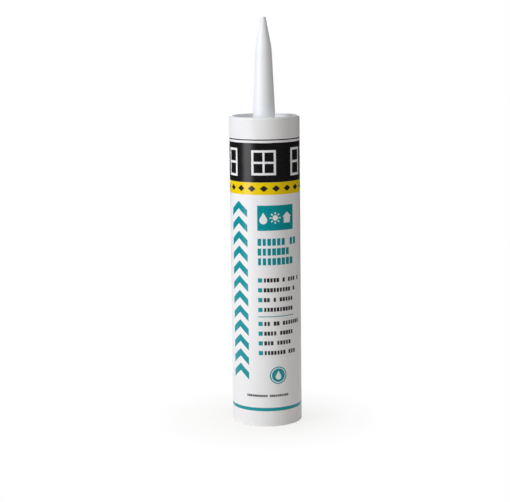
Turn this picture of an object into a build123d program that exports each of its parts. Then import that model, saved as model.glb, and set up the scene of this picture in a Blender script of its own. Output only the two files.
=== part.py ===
from build123d import *
import math
import os

# A sealant cartridge for a caulking gun, standing on its open tail, in millimetres.
# The origin is the centre of the tail's end face and +Z runs along the axis to the nozzle's tip.

# Barrel: plastic tube, its front end turned in to a rounded rim, its tail left open
barrel_outer_dia = 49.0
barrel_length = 216.0
barrel_wall = 1.2
rim_width = 2.2
rim_depth = 3.0
rim_outer_round = 1.7
rim_inner_bevel = 0.2
tail_edge_bevel = 0.25
tail_relief = 0.3
tail_relief_length = 12.0
tail_relief_run_out = 1.5
tail_lead_in = 0.2

# Nozzle head: skirt, sunk floor and two-taper nozzle with a closed tip, one moulding
head_clearance = 0.05
head_skirt_height = 10.0
head_skirt_wall = 1.3
head_recess = 5.5
head_floor = 1.5
nozzle_root_dia = 15.8
nozzle_root_flare = 1.5
nozzle_knee_dia = 11.2
nozzle_knee_height = 46.0
nozzle_knee_blend_run = 2.3
nozzle_tip_dia = 3.4
nozzle_tip_height = 67.4
nozzle_tip_bevel = 0.2
nozzle_tip_plug = 4.0
nozzle_wall = 1.3
inlet_bevel = 0.8

# Inner seal: foil disc welded over the nozzle's inlet
seal_margin = 4.0
seal_thickness = 0.15

# Piston: cup that follows the sealant, open to the tail
piston_clearance = 0.06
piston_inset = 14.0
piston_skirt_height = 12.0
piston_skirt_wall = 1.4
piston_face = 1.5
piston_nose_clearance = 0.4
cup_corner_bevel = 1.2
piston_stop_gap = 0.3
wiper_height = 2.0
wiper_relief = 0.6
wiper_slope = 0.8
hub_dia = 13.0
hub_wall = 1.3
hub_setback = 2.0
rib_count = 8
rib_thickness = 1.1
rib_setback = 3.0

# Sealant: the column between the head and the piston
sealant_clearance = 0.1

# Radii and heights that follow from the sizes above
barrel_radius = barrel_outer_dia / 2
bore_radius = barrel_radius - barrel_wall
mouth_radius = bore_radius + tail_relief
rim_opening_radius = barrel_radius - rim_width
head_seat_z = barrel_length - rim_depth
head_radius = bore_radius - head_clearance
head_inner_radius = head_radius - head_skirt_wall
head_skirt_z = head_seat_z - head_skirt_height
floor_top_z = barrel_length - head_recess
floor_under_z = floor_top_z - head_floor
knee_z = barrel_length + nozzle_knee_height
tip_z = barrel_length + nozzle_tip_height
inlet_radius = nozzle_root_dia / 2 - nozzle_wall
seal_under_z = floor_under_z - seal_thickness
sealant_top_z = seal_under_z - sealant_clearance
wiper_radius = bore_radius - piston_clearance
groove_radius = wiper_radius - wiper_relief
piston_inner_radius = groove_radius - piston_skirt_wall
shoulder_z = piston_inset + piston_skirt_height
nose_radius = head_inner_radius - piston_nose_clearance
nose_z = shoulder_z + (seal_under_z - head_skirt_z) + piston_nose_clearance
piston_travel = seal_under_z - piston_stop_gap - nose_z


def turned(*corners):
    """Solid of revolution about Z from its half section's corners: radius, height and any rounding."""
    roundings = [corner[2] if len(corner) > 2 else 0 for corner in corners]
    outline = FilletPolyline(*[corner[:2] for corner in corners], radius=roundings, close=True)
    return revolve(Plane.XZ * make_face(outline), Axis.Z)


def make_barrel():
    """Tube with its bore, the wider tail that takes the gun's plate, and the rim turned in at the front."""
    return turned(
        (barrel_radius - tail_edge_bevel, 0),
        (barrel_radius, tail_edge_bevel),
        (barrel_radius, barrel_length, rim_outer_round),
        (rim_opening_radius + rim_inner_bevel, barrel_length),
        (rim_opening_radius, barrel_length - rim_inner_bevel),
        (rim_opening_radius, head_seat_z),
        (bore_radius, head_seat_z),
        (bore_radius, tail_relief_length + tail_relief_run_out),
        (mouth_radius, tail_relief_length),
        (mouth_radius, tail_lead_in),
        (mouth_radius + tail_lead_in, 0),
    )


def make_nozzle_head():
    """Skirt that seats under the rim, floor sunk below it, and the hollow nozzle standing on the floor."""
    root_radius = nozzle_root_dia / 2
    root_z = floor_top_z + nozzle_root_flare
    knee_radius = nozzle_knee_dia / 2
    tip_radius = nozzle_tip_dia / 2
    rear_taper = math.atan((root_radius - knee_radius) / (knee_z - root_z))
    front_taper = math.atan((knee_radius - tip_radius) / (tip_z - knee_z))
    knee_blend = nozzle_knee_blend_run / math.tan((front_taper - rear_taper) / 2)
    wall_across = nozzle_wall / math.cos(front_taper)
    passage_end_z = tip_z - nozzle_tip_plug
    passage_end_radius = tip_radius + nozzle_tip_plug * math.tan(front_taper) - wall_across
    return turned(
        (inlet_radius, floor_under_z + inlet_bevel),
        (inlet_radius + inlet_bevel, floor_under_z),
        (head_inner_radius, floor_under_z),
        (head_inner_radius, head_skirt_z),
        (head_radius, head_skirt_z),
        (head_radius, head_seat_z),
        (head_inner_radius, head_seat_z),
        (head_inner_radius, floor_top_z),
        (root_radius + nozzle_root_flare, floor_top_z),
        (root_radius, root_z),
        (knee_radius, knee_z, knee_blend),
        (tip_radius + nozzle_tip_bevel * math.tan(front_taper), tip_z - nozzle_tip_bevel),
        (tip_radius - nozzle_tip_bevel, tip_z),
        (0, tip_z),
        (0, passage_end_z),
        (passage_end_radius, passage_end_z),
        (knee_radius - wall_across, knee_z),
    )


def make_inner_seal():
    """Thin disc flat against the floor's inner face, wide enough to close the inlet all round."""
    seal_radius = inlet_radius + inlet_bevel + seal_margin
    return turned(
        (0, seal_under_z),
        (seal_radius, seal_under_z),
        (seal_radius, floor_under_z),
        (0, floor_under_z),
    )


def make_sealant():
    """Column that fills the bore from the head to the piston and follows the shape of both."""
    skirt_under_z = head_skirt_z - sealant_clearance
    foot_z = shoulder_z + sealant_clearance
    nose_wall = nose_radius + sealant_clearance
    nose_end_z = nose_z + sealant_clearance
    return turned(
        (0, sealant_top_z),
        (head_inner_radius - sealant_clearance, sealant_top_z),
        (head_inner_radius - sealant_clearance, skirt_under_z),
        (bore_radius - sealant_clearance, skirt_under_z),
        (bore_radius - sealant_clearance, foot_z),
        (nose_wall, foot_z),
        (nose_wall, nose_end_z),
        (0, nose_end_z),
    )


def make_piston():
    """Cup with a nose that fills the head at the end of its travel, two wiper lips, a hub and ribs."""
    front_groove_z = shoulder_z - wiper_height
    rear_groove_z = piston_inset + wiper_height
    nose_inner_radius = nose_radius - piston_skirt_wall
    step_z = shoulder_z - piston_face
    step_end_z = step_z + piston_inner_radius - nose_inner_radius
    cup_floor_z = nose_z - piston_face
    cup = turned(
        (0, nose_z),
        (nose_radius, nose_z),
        (nose_radius, shoulder_z),
        (wiper_radius, shoulder_z),
        (wiper_radius, front_groove_z),
        (groove_radius, front_groove_z - wiper_slope),
        (groove_radius, rear_groove_z + wiper_slope),
        (wiper_radius, rear_groove_z),
        (wiper_radius, piston_inset),
        (piston_inner_radius, piston_inset),
        (piston_inner_radius, step_z),
        (nose_inner_radius, step_end_z),
        (nose_inner_radius, cup_floor_z - cup_corner_bevel),
        (nose_inner_radius - cup_corner_bevel, cup_floor_z),
        (0, cup_floor_z),
    )
    hub_radius = hub_dia / 2
    hub_bottom_z = piston_inset + hub_setback
    root_z = cup_floor_z + piston_face / 2
    hub = turned(
        (hub_radius - hub_wall, hub_bottom_z),
        (hub_radius, hub_bottom_z),
        (hub_radius, root_z),
        (hub_radius - hub_wall, root_z),
    )
    rib_start = hub_radius - hub_wall / 2
    rib_bottom_z = piston_inset + rib_setback
    root_depth = piston_skirt_wall / 2
    rib_side = Polyline(
        (rib_start, rib_bottom_z),
        (piston_inner_radius + root_depth, rib_bottom_z),
        (piston_inner_radius + root_depth, step_z),
        (nose_inner_radius + root_depth, step_end_z),
        (nose_inner_radius + root_depth, cup_floor_z - cup_corner_bevel),
        (nose_inner_radius - cup_corner_bevel, root_z),
        (rib_start, root_z),
        close=True,
    )
    rib = extrude(Plane.XZ * make_face(rib_side), rib_thickness / 2, both=True)
    ribs = [Rot(0, 0, 360 * turn / rib_count) * rib for turn in range(rib_count)]
    return cup + hub + ribs


nodes = {
    "barrel": make_barrel(),
    "nozzle_head": make_nozzle_head(),
    "inner_seal": make_inner_seal(),
    "sealant": make_sealant(),
    "piston": make_piston(),
}
os.makedirs("parts", exist_ok=True)
for name, solid in nodes.items():
    export_step(solid, f"parts/{name}.step")

print(f"fill {nodes['sealant'].volume / 1000:.1f} mL, piston travel {piston_travel:.2f} mm")
print(f"piston nose {nose_z:.2f} mm, sealant's top {sealant_top_z:.2f} mm")
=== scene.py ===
import math

import bmesh
import bpy
from mathutils import Matrix, Vector


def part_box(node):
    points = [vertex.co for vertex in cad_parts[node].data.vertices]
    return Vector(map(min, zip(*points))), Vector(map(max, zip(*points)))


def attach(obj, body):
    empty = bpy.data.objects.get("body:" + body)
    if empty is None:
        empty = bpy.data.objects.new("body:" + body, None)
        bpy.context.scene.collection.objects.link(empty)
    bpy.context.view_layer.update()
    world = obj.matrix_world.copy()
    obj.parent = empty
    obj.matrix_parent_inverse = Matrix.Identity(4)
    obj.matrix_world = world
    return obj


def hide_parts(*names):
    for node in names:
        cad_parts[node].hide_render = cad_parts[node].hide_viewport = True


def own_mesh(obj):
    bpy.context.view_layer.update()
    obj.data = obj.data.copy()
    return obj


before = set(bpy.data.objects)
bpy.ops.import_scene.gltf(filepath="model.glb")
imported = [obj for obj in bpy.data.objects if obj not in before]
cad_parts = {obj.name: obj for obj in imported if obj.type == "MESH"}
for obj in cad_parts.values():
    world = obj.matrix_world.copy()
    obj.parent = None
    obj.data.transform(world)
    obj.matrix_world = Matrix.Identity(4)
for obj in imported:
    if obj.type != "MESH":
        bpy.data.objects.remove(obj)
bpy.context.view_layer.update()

# Barrel: a tube of white polyethylene, extruded and cut to length. Its front end is turned in hot to a
# rounded rim over the head, and its tail is left open for a gun's plate. It is printed straight on the
# plastic by dry offset: bands all round, and fields of teal and black on the front.
MM = 0.001
barrel_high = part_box("barrel")[1]
barrel_radius = barrel_high.x / MM
barrel_length = barrel_high.z / MM
barrel_wall = 1.2
rim_width = 2.2
rim_depth = 3.0
rim_round = 1.7
rim_inner_round = 0.2
tail_edge_round = 0.25
tail_relief = 0.3
tail_relief_length = 12.0
tail_run_out = 1.5
tail_lead_in = 0.2
bore_radius = barrel_radius - barrel_wall
mouth_radius = bore_radius + tail_relief
opening_radius = barrel_radius - rim_width
seat_height = barrel_length - rim_depth
same_place = MM / 1000


def ring_at(shell, radius, height):
    """The edges that run round a spun shell at one corner of its half section."""
    on_corner = {
        vert for vert in shell.verts
        if abs(vert.co.xy.length - radius * MM) < same_place and abs(vert.co.z - height * MM) < same_place
    }
    return [edge for edge in shell.edges if on_corner.issuperset(edge.verts)]


def turned(name, corners, sides=192, arc_steps=6, crease_degrees=40):
    """A closed piece spun about Z from its half section's corners: radius, height and rounding, in mm."""
    shell = bmesh.new()
    points = [shell.verts.new((radius * MM, 0, height * MM)) for radius, height, rounding in corners]
    for start, end in zip(points, points[1:] + points[:1]):
        lies_on_axis = start.co.x + end.co.x == 0
        if not lies_on_axis:
            shell.edges.new((start, end))
    section = shell.verts[:] + shell.edges[:]
    full_turn = 2 * math.pi
    bmesh.ops.spin(shell, geom=section, axis=(0, 0, 1), angle=full_turn, steps=sides, use_merge=True)
    bmesh.ops.remove_doubles(shell, verts=shell.verts[:], dist=same_place)
    bmesh.ops.recalc_face_normals(shell, faces=shell.faces[:])
    for radius, height, rounding in corners:
        if rounding:
            bmesh.ops.bevel(
                shell, geom=ring_at(shell, radius, height), offset=rounding * MM, segments=arc_steps,
                profile=0.5, affect="EDGES", material=-1,
            )
    for face in shell.faces:
        face.smooth = True
    mesh = bpy.data.meshes.new(name)
    shell.to_mesh(mesh)
    shell.free()
    mesh.set_sharp_from_angle(angle=math.radians(crease_degrees))
    piece = bpy.data.objects.new(name, mesh)
    bpy.context.scene.collection.objects.link(piece)
    shading = piece.modifiers.new("flat_stays_flat", "WEIGHTED_NORMAL")
    shading.keep_sharp = True
    return piece


barrel = turned("barrel_tube", [
    (barrel_radius, 0, tail_edge_round),
    (barrel_radius, barrel_length, rim_round),
    (opening_radius, barrel_length, rim_inner_round),
    (opening_radius, seat_height, 0),
    (bore_radius, seat_height, 0),
    (bore_radius, tail_relief_length + tail_run_out, 0),
    (mouth_radius, tail_relief_length, 0),
    (mouth_radius, 0, tail_lead_in),
])


def lay_flat(piece, outside_share=0.86, border=0.004):
    """A UV map for the print: the barrel's outside and rim in one field with its seam at the back, and the
    inside in a strip above it."""
    mesh = piece.data
    flat = mesh.uv_layers.new(name="OFBake")
    outline_length = barrel_length + rim_width
    for face in mesh.polygons:
        faces_up = face.normal.z >= 0.5
        faces_in = face.center.xy.dot(face.normal.xy) <= 0 and not faces_up
        face_turn = math.atan2(face.center.x, -face.center.y)
        for corner in face.loop_indices:
            place = mesh.vertices[mesh.loops[corner].vertex_index].co
            turn = math.atan2(place.x, -place.y)
            if abs(turn - face_turn) > math.pi:
                turn += math.copysign(2 * math.pi, face_turn)
            along = (place.z / MM + barrel_radius - place.xy.length / MM) / outline_length
            if faces_in:
                up = outside_share + border + (1 - outside_share - 2 * border) * (1 - along)
            else:
                up = border + (outside_share - 2 * border) * along
            flat.uv[corner].vector = (0.5 + (0.5 - border) * turn / math.pi, up)


lay_flat(barrel)


class Wire:
    """An output in a node tree. Arithmetic on it adds Math nodes, and node() adds any other kind."""

    def __init__(self, socket):
        self.socket = socket

    def node(self, kind, settings, inputs, output=0):
        """A new node in the same tree: its settings first, then its inputs' values or wires."""
        tree = self.socket.id_data
        made = tree.nodes.new(kind)
        for name, value in settings.items():
            setattr(made, name, value)
        for name, value in inputs.items():
            if isinstance(value, Wire):
                tree.links.new(value.socket, made.inputs[name])
            else:
                made.inputs[name].default_value = value
        return Wire(made.outputs[output])

    def math(self, operation, *values, clamp=False):
        """A Math node on this value and others."""
        settings = {"operation": operation, "use_clamp": clamp}
        return self.node("ShaderNodeMath", settings, dict(enumerate((self, *values))))

    def clamped(self):
        """The same value, held between 0 and 1."""
        return self.math("ADD", 0.0, clamp=True)

    def feed(self, node, socket):
        """A link to an input of a node."""
        self.socket.id_data.links.new(self.socket, node.inputs[socket])

    def __add__(self, other):
        return self.math("ADD", other)

    __radd__ = __add__

    def __sub__(self, other):
        return self.math("SUBTRACT", other)

    def __rsub__(self, other):
        return self.math("MULTIPLY_ADD", -1, other)

    def __mul__(self, other):
        return self.math("MULTIPLY", other)

    __rmul__ = __mul__

    def __truediv__(self, other):
        return self.math("DIVIDE", other)

    def __neg__(self):
        return self.math("MULTIPLY", -1)

    def __abs__(self):
        return self.math("ABSOLUTE")


def new_surface(name, constants):
    """A material with its Principled surface's constants set, and a wire of object coordinates in mm."""
    material = bpy.data.materials.new(name)
    material.use_nodes = True
    nodes = material.node_tree.nodes
    surface = nodes["Principled BSDF"]
    for socket, value in constants.items():
        surface.inputs[socket].default_value = value
    metres = Wire(nodes.new("ShaderNodeTexCoord").outputs["Object"])
    scale = {"operation": "SCALE"}
    place = metres.node("ShaderNodeVectorMath", scale, {0: metres, "Scale": 1 / MM})
    return material, surface, place


def split(vector):
    return [vector.node("ShaderNodeSeparateXYZ", {}, {0: vector}, axis) for axis in "XYZ"]


def joined(x, y, z=0.0):
    return x.node("ShaderNodeCombineXYZ", {}, {0: x, 1: y, 2: z})


def mixed(share, first, second):
    """A colour between two others. The Mix node's colours are its inputs 6 and 7 and its output 2."""
    return share.node("ShaderNodeMix", {"data_type": "RGBA"}, {0: share, 6: first, 7: second}, 2)


def noise(vector, scale, detail=2.0):
    """Soft noise from 0 to 1, with its scale in cells per mm."""
    inputs = {"Vector": vector, "Scale": scale, "Detail": detail}
    return vector.node("ShaderNodeTexNoise", {"noise_dimensions": "3D"}, inputs)


def relief(height, depth_mm):
    """A normal from a height of 0 to 1."""
    return height.node("ShaderNodeBump", {}, {"Height": height, "Strength": 1.0, "Distance": depth_mm * MM})


def either(*shapes):
    """The union of shapes given by their distance to the edge, negative inside."""
    result = shapes[0]
    for shape in shapes[1:]:
        result = result.math("MINIMUM", shape)
    return result


def within(*shapes):
    """What all the shapes have in common."""
    result = shapes[0]
    for shape in shapes[1:]:
        result = result.math("MAXIMUM", shape)
    return result


def bar(value, low, high):
    """A stretch of one coordinate."""
    return abs(value - (low + high) / 2) - (high - low) / 2


def panel(across, up, left, right, bottom, top):
    return within(bar(across, left, right), bar(up, bottom, top))


def disc(across, up, centre, radius):
    inputs = {0: joined(across, up), 1: (*centre, 0)}
    return across.node("ShaderNodeVectorMath", {"operation": "DISTANCE"}, inputs, "Value") - radius


def from_nearest(value, pitch):
    """The distance to the nearest multiple of a pitch."""
    return value.math("PINGPONG", pitch / 2)


# Heights on the barrel, and arcs along its girth from the middle of the front to the right, in mm.
girth = 2 * math.pi * barrel_radius
thin_ring = (200.4, 201.2)
black_band = (171.8, 198.8)
yellow_band = (163.3, 171.8)
foot_ring = (11.0, 13.4)
band_start = -1.0
print_left = -5.8
print_right = 21.3
list_rule = (78.1, 78.7)
list_tops = (104.0, 73.4)
list_rows = 4
list_pitch = 6.9


def window_sign(sideways, upwards):
    """A window: a square frame with a cross of glazing bars."""
    half, frame_inside, half_bar = 8.6, 7.0, 0.7
    panes = within(bar(sideways, half_bar, frame_inside), bar(upwards, half_bar, frame_inside))
    return within(sideways - half, upwards - half, -panes)


def door_sign(sideways, upwards):
    """A door: a tall frame with an upper and a lower field."""
    half_width, half_height = 5.2, 9.6
    half_field, field_start, field_end = 3.5, 0.8, 8.0
    fields = within(sideways - half_field, bar(upwards, field_start, field_end))
    return within(sideways - half_width, upwards - half_height, -fields)


def band_signs(across, up, pairs=3):
    """Windows and doors by turns, all the way round the black band."""
    upwards = abs(up - sum(black_band) / 2)
    pitch = girth / pairs
    windows = window_sign(from_nearest(across - band_start, pitch), upwards)
    doors = door_sign(from_nearest(across - band_start - pitch / 2, pitch), upwards)
    return either(windows, doors)


def diamonds(across, up, count=18):
    """A row of diamonds, all the way round the yellow band."""
    half_width, half_height = 2.9, 2.2
    sideways = from_nearest(across - band_start, girth / count)
    upwards = abs(up - sum(yellow_band) / 2)
    return sideways * (half_height / half_width) + upwards - half_height


def arrows(across, up):
    """A column of chevrons that point to the nozzle."""
    left, right = -28.1, -13.2
    bottom, top = 36.4, 161.2
    pitch, half_stroke, slope = 10.4, 2.6, 0.8
    sideways = abs(across - (left + right) / 2)
    rising = up + slope * sideways
    strokes = from_nearest(rising - bottom - pitch / 2, pitch) - half_stroke
    return within(strokes, bar(rising, bottom, top), sideways - (right - left) / 2)


def drop(across, up, centre, radius):
    """A round drop with a straight-sided point on top, twice its radius above its centre."""
    sideways = abs(across - centre[0])
    point_top = centre[1] + 2 * radius
    flank = math.tan(math.radians(30))
    flank_end = centre[1] + radius / 2
    point = within(sideways - flank * (point_top - up), flank_end - up)
    return either(disc(across, up, centre, radius), point)


def sun_sign(across, up, centre, rays=8):
    """A sun: a disc and rays."""
    radius, ray_start, ray_end, half_ray = 1.9, 2.6, 4.0, 0.45
    reach = disc(across, up, centre, 0.0)
    turn = (up - centre[1]).math("ARCTAN2", across - centre[0])
    from_ray = from_nearest(turn, 2 * math.pi / rays) * reach
    return either(reach - radius, within(from_ray - half_ray, bar(reach, ray_start, ray_end)))


def house_sign(across, up, centre):
    """A house: a roof over plain walls."""
    ridge, eaves, slope = 3.9, 0.6, 0.9
    half_width, wall_foot, wall_top = 2.7, -3.7, 0.8
    sideways = abs(across - centre[0])
    over = up - centre[1]
    roof = within(sideways * slope + over - ridge, eaves - over)
    walls = within(sideways - half_width, bar(over, wall_foot, wall_top))
    return either(roof, walls)


def picture(across, up):
    """A panel with a drop, a sun and a house left white in it."""
    bottom, top = 138.6, 156.0
    middle = (bottom + top) / 2
    drop_across, sun_across, house_across = -1.6, 6.7, 15.8
    drop_sink, drop_radius = 1.5, 2.7
    signs = either(
        drop(across, up, (drop_across, middle - drop_sink), drop_radius),
        sun_sign(across, up, (sun_across, middle)),
        house_sign(across, up, (house_across, middle)),
    )
    return within(panel(across, up, print_left, print_right, bottom, top), -signs)


def badge(across, up):
    """A round badge with a thin ring and a drop left white in it."""
    centre, radius = (8.0, 36.5), 6.2
    ring_inset, ring_width = 0.8, 0.6
    drop_sink, drop_radius = 1.0, 2.1
    reach = disc(across, up, centre, 0.0)
    ring = bar(reach, radius - ring_inset - ring_width, radius - ring_inset)
    white_drop = drop(across, up, (centre[0], centre[1] - drop_sink), drop_radius)
    return within(reach - radius, -ring, -white_drop)


def list_marks(across, up, list_top, size=3.0):
    """A square mark at the start of each row of a list."""
    list_end = list_top - (list_rows - 1) * list_pitch
    return within(
        from_nearest(up - list_top, list_pitch) - size / 2,
        bar(up, list_end - list_pitch / 2, list_top + list_pitch / 2),
        bar(across, print_left, print_left + size),
    )


def block_rows(across, up, left, right, first_row, rows, row_pitch, block_height, pitch, ragged, seed):
    """Rows of small blocks in groups, level on the left and ragged on the right. The left is the middle of
    each row's first block, and the right is as far as the middle of a last one goes."""
    narrowest, widening = 0.62, 0.26
    gap_share, unbroken_blocks = 0.17, 2
    column = ((across - left) / pitch).math("ROUND")
    row = ((first_row - up) / row_pitch).math("ROUND")
    chance = {"noise_dimensions": "3D"}
    block_chance = row.node("ShaderNodeTexWhiteNoise", chance, {"Vector": joined(column, row, seed)})
    end_chance = row.node("ShaderNodeTexWhiteNoise", chance, {"Vector": joined(row, row, seed + 0.5)})
    block_width = pitch * (narrowest + widening * block_chance)
    block = within(
        abs(across - left - column * pitch) - block_width / 2,
        abs(first_row - up - row * row_pitch) - block_height / 2,
        bar(row, -0.5, rows - 0.5),
        -0.5 - column,
    )
    gap = block_chance.math("LESS_THAN", gap_share) * column.math("GREATER_THAN", unbroken_blocks - 0.5)
    row_end = right - ragged * end_chance
    beyond = (left + column * pitch).math("GREATER_THAN", row_end)
    far_off = 100.0
    return block + far_off * (gap + beyond)


def teal_print(across, up):
    """All that is printed in teal."""
    large_rows = block_rows(
        across, up, left=-4.5, right=31.0, first_row=130.6, rows=3, row_pitch=6.8,
        block_height=4.9, pitch=3.4, ragged=13.0, seed=3.0,
    )
    return either(
        arrows(across, up),
        picture(across, up),
        large_rows,
        panel(across, up, print_left, print_right, *list_rule),
        *[list_marks(across, up, list_top) for list_top in list_tops],
        badge(across, up),
        bar(up, *foot_ring),
    )


def thin_black_print(across, up):
    """All that is printed in black apart from the black band."""
    lists = [
        block_rows(
            across, up, left=-0.9, right=30.5, first_row=list_top, rows=list_rows, row_pitch=list_pitch,
            block_height=2.9, pitch=2.25, ragged=12.0, seed=list_top,
        )
        for list_top in list_tops
    ]
    foot_row = block_rows(
        across, up, left=-14.5, right=15.0, first_row=22.0, rows=1, row_pitch=10.0,
        block_height=1.6, pitch=1.4, ragged=0.0, seed=7.0,
    )
    return either(bar(up, *thin_ring), diamonds(across, up), *lists, foot_row)


def printed_polyethylene():
    """Satin white polyethylene with faint lines from the die along it, and inks on its outside."""
    dull_white, clear_white = (0.822, 0.833, 0.857, 1), (0.862, 0.873, 0.893, 1)
    band_black, thin_black = (0.006, 0.006, 0.007, 1), (0.015, 0.015, 0.017, 1)
    yellow, teal = (0.87, 0.63, 0.002, 1), (0.0, 0.285, 0.33, 1)
    skin_depth, off_the_tube, edge_blur = 0.3, 1000.0, 0.15
    plastic_roughness, speckle_roughness, ink_gloss = 0.40, 0.06, 0.16
    lines_per_mm, line_drift = 1.6, 0.01
    material, surface, place = new_surface("printed_polyethylene", {"IOR": 1.5, "Specular IOR Level": 0.28})
    x, y, z = split(place)
    radius = (x * x + y * y).math("SQRT")
    inside = radius.math("LESS_THAN", barrel_radius - skin_depth)
    across = x.math("ARCTAN2", -y) * barrel_radius
    up = z + off_the_tube * inside
    inks = (
        (within(bar(up, *black_band), -band_signs(across, up)), band_black),
        (bar(up, *yellow_band), yellow),
        (teal_print(across, up), teal),
        (thin_black_print(across, up), thin_black),
    )
    colour = mixed(noise(place, scale=0.05), dull_white, clear_white)
    inked = 0.0
    for shape, ink in inks:
        cover = (0.5 - shape / edge_blur).clamped()
        colour = mixed(cover, colour, ink)
        inked = cover.math("MAXIMUM", inked)
    colour.feed(surface, "Base Color")
    speckle = noise(place, scale=0.9)
    (plastic_roughness + speckle_roughness * speckle - ink_gloss * inked).feed(surface, "Roughness")
    die_lines = noise(joined(across * lines_per_mm, radius, z * line_drift), scale=1.0)
    relief(die_lines, depth_mm=0.01).feed(surface, "Normal")
    return material


barrel.data.materials.append(printed_polyethylene())
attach(barrel, "cartridge")
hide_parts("barrel")

# Nozzle head: the front closure and nozzle, one moulding in white polyethylene. Its skirt seats in the
# bore under the rim, its floor lies sunk inside the rim, and the hollow nozzle on it tapers twice to a
# closed tip.
head_low, head_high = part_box("nozzle_head")
head_radius = head_high.x / MM
skirt_height = head_low.z / MM
tip_height = head_high.z / MM
skirt_wall = 1.3
skirt_edge_round = 0.2
skirt_top_round = 0.3
recess_depth = 5.5
recess_corner_round = 0.6
floor_thickness = 1.5
floor_corner_round = 0.5
root_radius = 7.9
root_flare = 1.5
knee_radius = 5.6
knee_rise = 46.0
knee_blend = 2.3
tip_radius = 1.7
tip_round = 0.2
tip_plug = 4.0
nozzle_wall = 1.3
inlet_round = 0.8
skirt_inner_radius = head_radius - skirt_wall
floor_top = barrel_length - recess_depth
floor_under = floor_top - floor_thickness
inlet_radius = root_radius - nozzle_wall
knee_height = barrel_length + knee_rise
front_taper = math.atan((knee_radius - tip_radius) / (tip_height - knee_height))
wall_across = nozzle_wall / math.cos(front_taper)
passage_end = tip_height - tip_plug
passage_end_radius = tip_radius + tip_plug * math.tan(front_taper) - wall_across
head = turned("nozzle_head_moulding", [
    (inlet_radius, floor_under, inlet_round),
    (skirt_inner_radius, floor_under, floor_corner_round),
    (skirt_inner_radius, skirt_height, skirt_edge_round),
    (head_radius, skirt_height, skirt_edge_round),
    (head_radius, seat_height, 0),
    (skirt_inner_radius, seat_height, skirt_top_round),
    (skirt_inner_radius, floor_top, recess_corner_round),
    (root_radius, floor_top, root_flare),
    (knee_radius, knee_height, knee_blend),
    (tip_radius, tip_height, tip_round),
    (0, tip_height, 0),
    (0, passage_end, 0),
    (passage_end_radius, passage_end, 0),
    (knee_radius - wall_across, knee_height, 0),
])


def moulded_polyethylene(name, dull_white, clear_white):
    """Satin moulded polyethylene: a little cloudy, with a fine grain from the mould."""
    smooth_roughness, grain_roughness = 0.36, 0.08
    material, surface, place = new_surface(name, {"IOR": 1.5})
    mixed(noise(place, scale=0.12), dull_white, clear_white).feed(surface, "Base Color")
    grain = noise(place, scale=1.4)
    (smooth_roughness + grain_roughness * grain).feed(surface, "Roughness")
    relief(grain, depth_mm=0.008).feed(surface, "Normal")
    return material


head_white = moulded_polyethylene("nozzle_polyethylene", (0.87, 0.893, 0.93, 1), (0.895, 0.918, 0.95, 1))
head.data.materials.append(head_white)
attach(head, "cartridge")
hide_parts("nozzle_head")

# Inner seal: a disc of aluminium foil welded to the inner face of the floor, across the nozzle's inlet.
# It is cut through with a wire before the first use, and here it is whole.
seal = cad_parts["inner_seal"]


def wrinkled_foil():
    """Rolled aluminium foil, with rolling lines one way and small soft wrinkles."""
    bright_roughness, line_roughness = 0.22, 0.16
    lines_per_mm, line_drift = 4.0, 0.1
    constants = {"Metallic": 1.0, "Base Color": (0.80, 0.80, 0.82, 1)}
    material, surface, place = new_surface("wrinkled_foil", constants)
    x, y, z = split(place)
    rolling = noise(joined(x * line_drift, y * lines_per_mm, z), scale=1.0)
    (bright_roughness + line_roughness * rolling).feed(surface, "Roughness")
    relief(noise(place, scale=0.5), depth_mm=0.08).feed(surface, "Normal")
    return material


seal.data.materials.clear()
seal.data.materials.append(wrinkled_foil())

# Sealant: the column of white acrylic paste that fills the bore between the head and the piston. It takes
# the shape of both, and is driven out through the nozzle as the piston comes up.
paste_low, paste_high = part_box("sealant")
paste_radius = paste_high.x / MM
paste_foot = paste_low.z / MM
paste_top = paste_high.z / MM
paste_gap = 0.1
paste_top_round = 0.3
paste_edge_round = 0.2
paste_neck_radius = skirt_inner_radius - paste_gap
paste_shoulder = skirt_height - paste_gap
nose_gap = 0.3
nose_radius = skirt_inner_radius - nose_gap
nose_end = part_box("piston")[1].z / MM + paste_gap
paste = turned("sealant_column", [
    (0, paste_top, 0),
    (paste_neck_radius, paste_top, paste_top_round),
    (paste_neck_radius, paste_shoulder, 0),
    (paste_radius, paste_shoulder, paste_edge_round),
    (paste_radius, paste_foot, paste_edge_round),
    (nose_radius, paste_foot, 0),
    (nose_radius, nose_end, 0),
    (0, nose_end, 0),
], sides=96)


def acrylic_paste():
    """Smooth white paste, dull, with the soft folds that filling leaves in it."""
    wet_roughness, fold_roughness = 0.5, 0.15
    material, surface, place = new_surface("acrylic_paste", {"IOR": 1.45})
    folds = noise(place, scale=0.15, detail=3.0)
    mixed(folds, (0.86, 0.86, 0.84, 1), (0.91, 0.91, 0.90, 1)).feed(surface, "Base Color")
    (wet_roughness + fold_roughness * folds).feed(surface, "Roughness")
    relief(folds, depth_mm=0.2).feed(surface, "Normal")
    return material


paste.data.materials.append(acrylic_paste())
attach(paste, "cartridge")
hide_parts("sealant")
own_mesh(paste)

# Piston: the follower behind the paste, one moulding in natural polyethylene, a cup with two wiper lips,
# open to the tail, with a hub and ribs that take the push of the gun's plate.
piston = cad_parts["piston"]
piston.data.materials.clear()
piston_white = moulded_polyethylene("piston_polyethylene", (0.80, 0.81, 0.82, 1), (0.86, 0.87, 0.88, 1))
piston.data.materials.append(piston_white)

# Floor and surroundings: a round pale table that fades into white, with a soft shadow under the tube. The
# backdrop is white, and the room in front of it is dim.
floor_reach = 550.0
floor_drop = 0.02
shadow_reach = 60.0
ambient = 0.075
dim_room = 0.05
backdrop_edge = 0.93
backdrop_sharpness = 20.0


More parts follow.
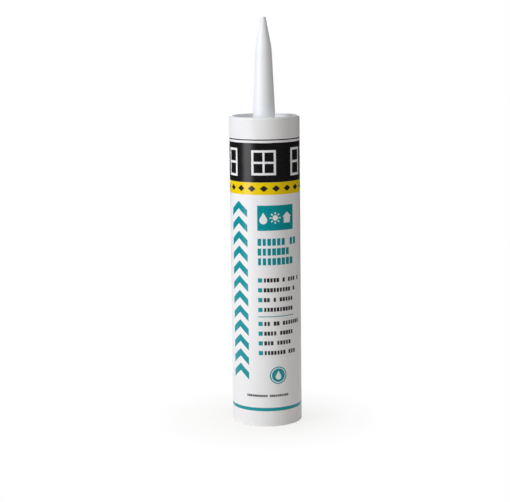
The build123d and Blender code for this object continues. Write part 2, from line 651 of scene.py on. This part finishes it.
def sight_rays(wire):
    """Two wires that are 1 for their own rays: the camera's, and those that gloss or glass sends on."""
    path = wire.socket.id_data.nodes.new("ShaderNodeLightPath")
    camera_ray, glossy_ray, clear_ray = [
        Wire(path.outputs[name]) for name in ("Is Camera Ray", "Is Glossy Ray", "Is Transmission Ray")
    ]
    return camera_ray, glossy_ray.math("MAXIMUM", clear_ray)


def pale_table():
    """A matt pale table that a camera sees fade to white away from the tube's foot."""
    white_at_foot, fade_curve = 0.8, 0.7
    material, surface, place = new_surface("pale_table", {"Roughness": 0.9, "Specular IOR Level": 0.1})
    board = mixed(noise(place, scale=0.02), (0.70, 0.65, 0.60, 1), (0.74, 0.69, 0.64, 1))
    board.feed(surface, "Base Color")
    from_axis = place.node("ShaderNodeVectorMath", {"operation": "LENGTH"}, {0: place}, "Value")
    away = ((from_axis - barrel_radius) / shadow_reach).clamped()
    whiteness = white_at_foot + (1 - white_at_foot) * away.math("POWER", fade_curve)
    camera_ray, mirrored_ray = sight_rays(place)
    shown = whiteness * (camera_ray + mirrored_ray)
    nodes = material.node_tree.nodes
    white = Wire(nodes.new("ShaderNodeEmission").outputs[0])
    blend = shown.node("ShaderNodeMixShader", {}, {0: shown, 1: Wire(surface.outputs[0]), 2: white})
    blend.feed(nodes["Material Output"], "Surface")
    return material


table = bmesh.new()
sunk = Matrix.Translation((0, 0, -floor_drop * MM))
bmesh.ops.create_circle(table, cap_ends=True, radius=floor_reach * MM, segments=96, matrix=sunk)
table_mesh = bpy.data.meshes.new("floor")
table.to_mesh(table_mesh)
table.free()
floor = bpy.data.objects.new("floor", table_mesh)
bpy.context.scene.collection.objects.link(floor)
floor.data.materials.append(pale_table())

world = bpy.data.worlds.new("studio")
world.use_nodes = True
bpy.context.scene.world = world
background = world.node_tree.nodes["Background"]
background.inputs["Color"].default_value = (1, 1, 1, 1)
direction = Wire(world.node_tree.nodes.new("ShaderNodeTexCoord").outputs["Generated"])
backdrop = ((split(direction)[1] - backdrop_edge) * backdrop_sharpness).clamped()
camera_ray, mirrored_ray = sight_rays(direction)
mirrored = dim_room + (1 - dim_room) * backdrop
strength = ambient + (1 - ambient) * camera_ray + (mirrored - ambient) * mirrored_ray
strength.feed(background, "Strength")

# Lights: a tall softbox on the left models the round of the tube and leaves a soft streak on the black
# band. A wide, weak one fills from the right of the camera, one high on the left lights the recess, and a
# low one behind lights the back.
bpy.context.scene.view_settings.view_transform = "Standard"


def softbox(name, azimuth, distance, height, size, radiance, colour=(1.0, 1.0, 1.0)):
    """An area light aimed at the tube's middle, in metres and in degrees to the right of the front."""
    light = bpy.data.lights.new(name, "AREA")
    light.shape = "RECTANGLE"
    light.size, light.size_y = size
    light.energy = radiance * math.pi * light.size * light.size_y
    light.color = colour
    lamp = bpy.data.objects.new(name, light)
    turn = math.radians(azimuth)
    lamp.location = (distance * math.sin(turn), -distance * math.cos(turn), height)
    aim = Vector((0, 0, barrel_high.z / 2)) - lamp.location
    lamp.rotation_euler = aim.to_track_quat("-Z", "Y").to_euler()
    bpy.context.scene.collection.objects.link(lamp)


cool, warm = (0.98, 0.98, 1.0), (1.0, 0.972, 0.935)
softbox("key_softbox", azimuth=-58, distance=1.2, height=0.4, size=(0.69, 1.1), radiance=5.4, colour=cool)
softbox("front_softbox", azimuth=35, distance=1.5, height=0.85, size=(2.2, 0.8), radiance=1.73, colour=warm)
softbox("top_softbox", azimuth=-105, distance=0.6, height=1.3, size=(1.0, 1.0), radiance=1.9)
softbox("back_softbox", azimuth=180, distance=1.5, height=0.1, size=(0.45, 0.6), radiance=10.0)

# Camera: a metre in front of the tube and level with the nozzle's tip. It looks a little down, and is
# rolled so that the tube leans slightly to the left.
image_width = 510
focal_pixels = 1445.8
camera_place = Vector((-7.52, -1004.5, 284.7)) * MM
camera_pitch = 9.273
camera_roll = -0.70
camera = bpy.data.cameras.new("camera")
camera.sensor_width = 36.0
camera.lens = focal_pixels * camera.sensor_width / image_width
viewer = bpy.data.objects.new("camera", camera)
tilt = Matrix.Rotation(math.radians(90 - camera_pitch), 4, "X")
lean = Matrix.Rotation(math.radians(camera_roll), 4, "Z")
viewer.matrix_world = Matrix.Translation(camera_place) @ tilt @ lean
bpy.context.scene.collection.objects.link(viewer)
bpy.context.scene.camera = viewer
